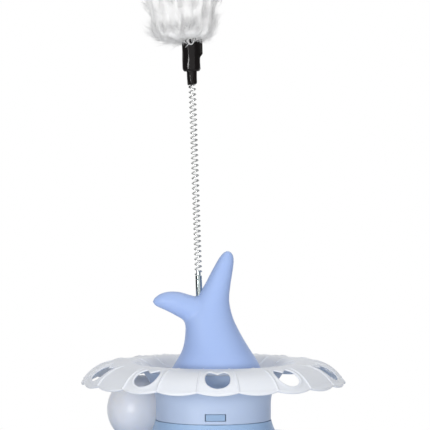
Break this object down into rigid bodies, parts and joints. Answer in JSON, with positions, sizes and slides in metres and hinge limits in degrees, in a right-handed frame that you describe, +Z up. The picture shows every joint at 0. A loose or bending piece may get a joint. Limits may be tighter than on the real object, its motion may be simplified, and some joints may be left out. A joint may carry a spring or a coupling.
{
  "type": "cat ball tower",
  "caption": "cat ball tower: tiered round tray tracks with rolling hollow balls, a petal skirt with heart cut-outs and a whale tail that holds a feather on a spring",
  "frame": {"origin": "on the floor in the middle of the base", "axes": "+Z up, front at -Y, the tail's broad side faces the front and its tips lie along X"},
  "size_m": [0.25, 0.25, 0.4186],
  "materials": {
    "base_plastic": "satin moulded plastic, light blue",
    "tray_plastic": "satin moulded plastic, light blue",
    "cup_plastic": "satin moulded plastic, pale lavender blue",
    "skirt_plastic": "satin moulded plastic, white with a cool tint",
    "tail_plastic": "soft satin moulded plastic, periwinkle blue",
    "socket_plastic": "dark moulded bush",
    "ball_plastic": "thin frosted translucent shell",
    "pad_rubber": "soft non-slip pad",
    "sleeve_rubber": "glossy black heat-shrink tube",
    "ferrule_metal": "bright turned metal",
    "spring_steel": "bright drawn spring wire",
    "screw_steel": "zinc-plated steel screws",
    "feather": "soft white down feather"
  },
  "bodies": {
    "tower": {"base_tray": "base_plastic", "foot_pads": "pad_rubber", "upper_tray": "tray_plastic", "top_cup": "cup_plastic", "petal_skirt": "skirt_plastic", "tail_front_shell": "tail_plastic", "tail_rear_shell": "tail_plastic", "tail_screws": "screw_steel", "wand_socket": "socket_plastic", "wand_ferrule": "ferrule_metal"},
    "lower_ball": {"lower_ball": "ball_plastic"},
    "upper_ball": {"upper_ball": "ball_plastic"},
    "wand": {"wand_spring": "spring_steel"},
    "lure": {"spring_sleeve": "sleeve_rubber", "feather_sleeve": "sleeve_rubber", "feather_tuft": "feather"},
    "lower_latch_1": {"lower_latch_1": "base_plastic"},
    "lower_latch_2": {"lower_latch_2": "base_plastic"},
    "lower_latch_3": {"lower_latch_3": "base_plastic"},
    "upper_latch_1": {"upper_latch_1": "tray_plastic"},
    "upper_latch_2": {"upper_latch_2": "tray_plastic"},
    "upper_latch_3": {"upper_latch_3": "tray_plastic"}
  },
  "joints": [
    {"name": "lower_ball_roll", "type": "hinge", "parent": "tower", "child": "lower_ball", "pos_m": [0, 0, 0.0323], "axis": [0, 0, 1], "continuous": true},
    {"name": "upper_ball_roll", "type": "hinge", "parent": "tower", "child": "upper_ball", "pos_m": [0, 0, 0.0803], "axis": [0, 0, 1], "continuous": true},
    {"name": "wand_sway", "type": "hinge", "parent": "tower", "child": "wand", "pos_m": [-0.00977, 0, 0.17129], "axis": [0, 1, 0], "range_deg": [-45, 45], "stiffness_Nm_per_rad": 0.08, "deforming": ["wand_spring"]},
    {"name": "lure_nod", "type": "hinge", "parent": "wand", "child": "lure", "pos_m": [-0.01391, 0, 0.29593], "axis": [1, 0, 0], "range_deg": [-30, 30], "stiffness_Nm_per_rad": 0.03, "deforming": ["wand_spring"]},
    {"name": "lower_latch_1_press", "type": "hinge", "parent": "tower", "child": "lower_latch_1", "pos_m": [0, -0.0531, 0.0415], "axis": [1, 0, 0], "range_deg": [0, 17], "stiffness_Nm_per_rad": 0.1},
    {"name": "lower_latch_2_press", "type": "hinge", "parent": "tower", "child": "lower_latch_2", "pos_m": [0.04599, 0.02655, 0.0415], "axis": [-0.5, 0.866, 0], "range_deg": [0, 17], "stiffness_Nm_per_rad": 0.1},
    {"name": "lower_latch_3_press", "type": "hinge", "parent": "tower", "child": "lower_latch_3", "pos_m": [-0.04599, 0.02655, 0.0415], "axis": [-0.5, -0.866, 0], "range_deg": [0, 17], "stiffness_Nm_per_rad": 0.1},
    {"name": "upper_latch_1_press", "type": "hinge", "parent": "tower", "child": "upper_latch_1", "pos_m": [0, -0.0336, 0.0895], "axis": [1, 0, 0], "range_deg": [0, 17], "stiffness_Nm_per_rad": 0.1},
    {"name": "upper_latch_2_press", "type": "hinge", "parent": "tower", "child": "upper_latch_2", "pos_m": [0.0291, 0.0168, 0.0895], "axis": [-0.5, 0.866, 0], "range_deg": [0, 17], "stiffness_Nm_per_rad": 0.1},
    {"name": "upper_latch_3_press", "type": "hinge", "parent": "tower", "child": "upper_latch_3", "pos_m": [-0.0291, 0.0168, 0.0895], "axis": [-0.5, -0.866, 0], "range_deg": [0, 17], "stiffness_Nm_per_rad": 0.1}
  ]
}
